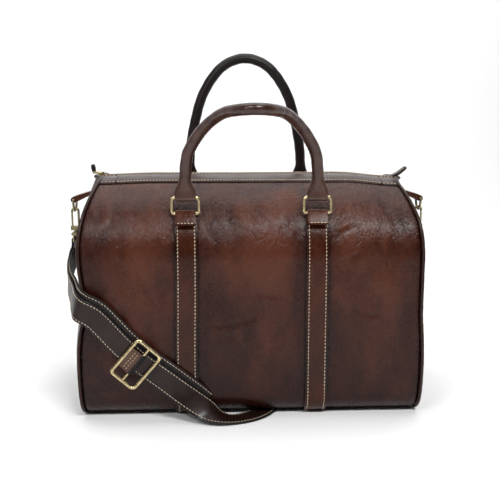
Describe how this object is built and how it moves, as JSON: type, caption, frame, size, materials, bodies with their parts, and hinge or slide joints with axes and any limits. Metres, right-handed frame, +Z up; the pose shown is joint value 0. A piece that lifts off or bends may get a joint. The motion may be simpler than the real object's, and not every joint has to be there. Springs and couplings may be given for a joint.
{
  "type": "weekender bag",
  "caption": "Barrel-topped leather weekender bag with two rolled handles on rings, a zipped mouth along the top and a clip-on shoulder strap laid under the base.",
  "frame": {"origin": "middle of the bag on the surface that it stands on", "axes": "+X along the bag to the right seen from the front, +Y from front to back, +Z up"},
  "size_m": [0.4904, 0.3728, 0.4729],
  "materials": {
    "body_leather": "glossy pull-up leather with fine creases",
    "trim_leather": "smooth glossy leather",
    "edge_leather": "dark suede-backed leather",
    "lining_fabric": "matt woven cotton",
    "board": "matt stiffener",
    "rope": "twisted cord",
    "brass": "lightly aged polished brass"
  },
  "bodies": {
    "root": {"main_panel": "body_leather", "end_panel_left": "body_leather", "end_panel_right": "body_leather", "piping_left": "edge_leather", "piping_right": "edge_leather", "strip_left": "trim_leather", "strip_right": "trim_leather", "chape_front_left": "trim_leather", "chape_front_right": "trim_leather", "chape_back_left": "trim_leather", "chape_back_right": "trim_leather", "lining": "lining_fabric", "base_board": "board", "zip_end_left": "body_leather", "zip_end_right": "body_leather", "zip_tail_tab": "edge_leather", "side_tab_left": "trim_leather", "side_tab_right": "trim_leather", "shoulder_strap": "trim_leather", "strap_tail": "edge_leather"},
    "front_lip": {"lip_front": "body_leather", "zip_tape_front": "lining_fabric", "zip_teeth_front": "brass"},
    "back_lip": {"lip_back": "body_leather", "zip_tape_back": "lining_fabric", "zip_teeth_back": "brass"},
    "slider": {"zip_slider": "brass"},
    "puller": {"zip_puller": "brass"},
    "pull_tab": {"zip_pull_tab": "edge_leather"},
    "front_left_ring": {"ring_front_left": "brass"},
    "front_right_ring": {"ring_front_right": "brass"},
    "back_left_ring": {"ring_back_left": "brass"},
    "back_right_ring": {"ring_back_right": "brass"},
    "front_handle": {"handle_front_cover": "trim_leather", "handle_front_core": "rope"},
    "back_handle": {"handle_back_cover": "trim_leather", "handle_back_core": "rope"},
    "left_end_ring": {"d_ring_left": "brass"},
    "right_end_ring": {"d_ring_right": "brass"},
    "left_eye": {"swivel_eye_left": "brass"},
    "right_eye": {"swivel_eye_right": "brass"},
    "left_hook": {"snap_hook_left": "brass"},
    "right_hook": {"snap_hook_right": "brass"},
    "left_gate": {"hook_gate_left": "brass"},
    "right_gate": {"hook_gate_right": "brass"},
    "buckle": {"slide_buckle": "brass", "strap_fold": "edge_leather"}
  },
  "joints": [
    {"name": "front_lip_fold", "type": "hinge", "parent": "root", "child": "front_lip", "pos_m": [0, -0.054, 0.30004], "axis": [1, 0, 0], "range_deg": [0, 65]},
    {"name": "back_lip_fold", "type": "hinge", "parent": "root", "child": "back_lip", "pos_m": [0, 0.054, 0.30004], "axis": [-1, 0, 0], "range_deg": [0, 65]},
    {"name": "zip_run", "type": "slide", "parent": "root", "child": "slider", "axis": [1, 0, 0], "range_m": [0, 0.385]},
    {"name": "puller_swing", "type": "hinge", "parent": "slider", "child": "puller", "pos_m": [-0.2, 0, 0.3076], "axis": [0, 1, 0], "range_deg": [0, 75]},
    {"name": "pull_tab_swing", "type": "hinge", "parent": "puller", "child": "pull_tab", "pos_m": [-0.21086, 0, 0.30932], "axis": [0, 1, 0], "range_deg": [-20, 20]},
    {"name": "front_left_ring_swing", "type": "hinge", "parent": "root", "child": "front_left_ring", "pos_m": [-0.083, -0.10884, 0.266], "axis": [1, 0, 0], "range_deg": [-20, 40]},
    {"name": "front_right_ring_swing", "type": "hinge", "parent": "root", "child": "front_right_ring", "pos_m": [0.083, -0.10884, 0.266], "axis": [1, 0, 0], "range_deg": [-20, 40]},
    {"name": "front_handle_swing", "type": "hinge", "parent": "front_left_ring", "child": "front_handle", "pos_m": [0, -0.10884, 0.286], "axis": [1, 0, 0], "range_deg": [-20, 40]},
    {"name": "back_left_ring_swing", "type": "hinge", "parent": "root", "child": "back_left_ring", "pos_m": [-0.083, 0.10884, 0.266], "axis": [-1, 0, 0], "range_deg": [-20, 40]},
    {"name": "back_right_ring_swing", "type": "hinge", "parent": "root", "child": "back_right_ring", "pos_m": [0.083, 0.10884, 0.266], "axis": [-1, 0, 0], "range_deg": [-20, 40]},
    {"name": "back_handle_swing", "type": "hinge", "parent": "back_left_ring", "child": "back_handle", "pos_m": [0, 0.10884, 0.286], "axis": [-1, 0, 0], "range_deg": [-14, 75]},
    {"name": "left_end_ring_swing", "type": "hinge", "parent": "root", "child": "left_end_ring", "pos_m": [-0.2385, 0, 0.272], "axis": [0, 1, 0], "range_deg": [-6, 10]},
    {"name": "left_eye_tilt", "type": "hinge", "parent": "left_end_ring", "child": "left_eye", "pos_m": [-0.2385, 0, 0.258], "axis": [0, 1, 0], "range_deg": [-14, 9]},
    {"name": "left_hook_spin", "type": "hinge", "parent": "left_eye", "child": "left_hook", "pos_m": [-0.2385, 0, 0.23], "axis": [0, 0, 1], "range_deg": [-12, 12]},
    {"name": "left_gate_press", "type": "hinge", "parent": "left_hook", "child": "left_gate", "pos_m": [-0.2429, 0, 0.2338], "axis": [0, 1, 0], "range_deg": [0, 12], "stiffness_Nm_per_rad": 0.02, "springref_deg": -17.19},
    {"name": "right_end_ring_swing", "type": "hinge", "parent": "root", "child": "right_end_ring", "pos_m": [0.2385, 0, 0.272], "axis": [0, -1, 0], "range_deg": [-6, 10]},
    {"name": "right_eye_tilt", "type": "hinge", "parent": "right_end_ring", "child": "right_eye", "pos_m": [0.2385, 0, 0.258], "axis": [0, -1, 0], "range_deg": [-14, 9]},
    {"name": "right_hook_spin", "type": "hinge", "parent": "right_eye", "child": "right_hook", "pos_m": [0.2385, 0, 0.23], "axis": [0, 0, 1], "range_deg": [-12, 12]},
    {"name": "right_gate_press", "type": "hinge", "parent": "right_hook", "child": "right_gate", "pos_m": [0.2429, 0, 0.2338], "axis": [0, -1, 0], "range_deg": [0, 12], "stiffness_Nm_per_rad": 0.02, "springref_deg": -17.19},
    {"name": "buckle_slide", "type": "slide", "parent": "root", "child": "buckle", "axis": [0.7547, 0, -0.6561], "range_m": [-0.01, 0.01]}
  ],
  "couplings": [
    {"joint": "front_right_ring_swing", "follows": "front_left_ring_swing", "ratio": 1},
    {"joint": "back_right_ring_swing", "follows": "back_left_ring_swing", "ratio": 1},
    {"joint": "left_eye_tilt", "follows": "left_end_ring_swing", "ratio": -1.34},
    {"joint": "right_eye_tilt", "follows": "right_end_ring_swing", "ratio": -1.34}
  ]
}
